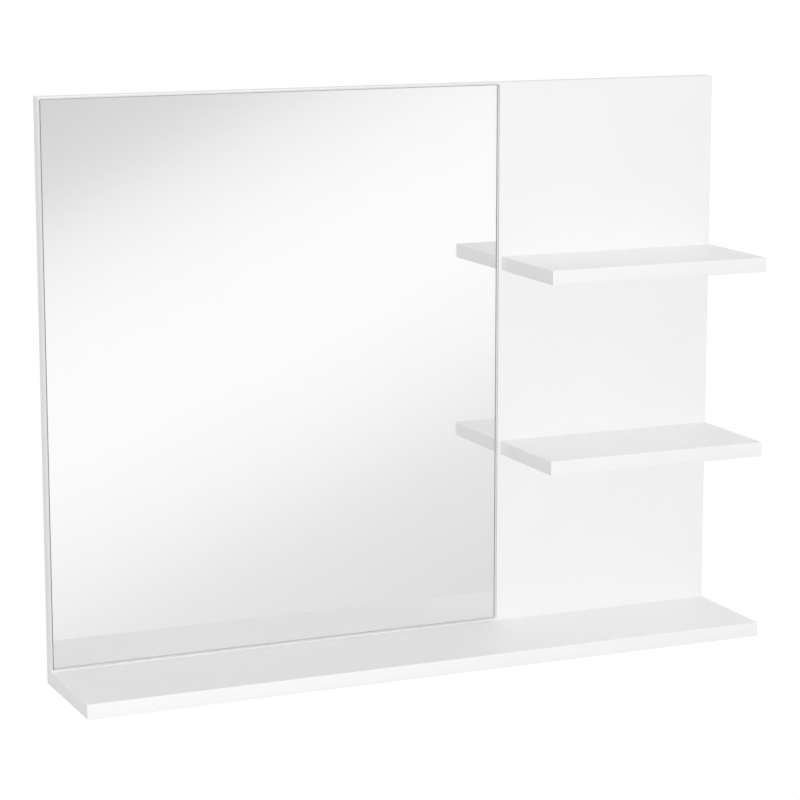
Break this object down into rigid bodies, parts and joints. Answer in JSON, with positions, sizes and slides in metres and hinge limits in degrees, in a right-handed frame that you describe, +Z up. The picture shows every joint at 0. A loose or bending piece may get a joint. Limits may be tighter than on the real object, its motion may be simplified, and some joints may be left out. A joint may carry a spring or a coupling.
{
  "type": "bathroom mirror with shelves",
  "caption": "White wall-hung bathroom mirror: a rectangular pane beside an open column of short shelves, over a full-width ledge, on one back panel with keyhole hangers.",
  "frame": {"origin": "on the wall plane, at the panel's back face, midway between the round entries of the two keyholes", "axes": "+X to the viewer's right along the shelves, +Y into the wall, +Z up; the mirror faces -Y"},
  "size_m": [0.6, 0.108, 0.474],
  "materials": {
    "white_board": "white melamine-faced particleboard, satin",
    "white_band": "white edge band, satin",
    "mirror_glass": "silvered float glass with a ground arris",
    "foam_tape": "double-sided foam tape",
    "zinc_screw": "zinc plated",
    "steel_plate": "zinc-plated pressed steel",
    "beech": "plain beech"
  },
  "bodies": {
    "root": {"back_panel": "white_board", "back_panel_top_band": "white_band", "back_panel_bottom_band": "white_band", "back_panel_left_band": "white_band", "back_panel_right_band": "white_band", "lower_shelf": "white_board", "lower_shelf_front_band": "white_band", "lower_shelf_left_band": "white_band", "lower_shelf_right_band": "white_band", "middle_shelf": "white_board", "middle_shelf_front_band": "white_band", "middle_shelf_left_band": "white_band", "middle_shelf_right_band": "white_band", "upper_shelf": "white_board", "upper_shelf_front_band": "white_band", "upper_shelf_left_band": "white_band", "upper_shelf_right_band": "white_band", "mirror": "mirror_glass", "mirror_tapes": "foam_tape", "shelf_screws": "zinc_screw", "shelf_dowels": "beech", "left_keyhole_plate": "steel_plate", "right_keyhole_plate": "steel_plate", "keyhole_plate_screws": "zinc_screw"}
  },
  "joints": []
}
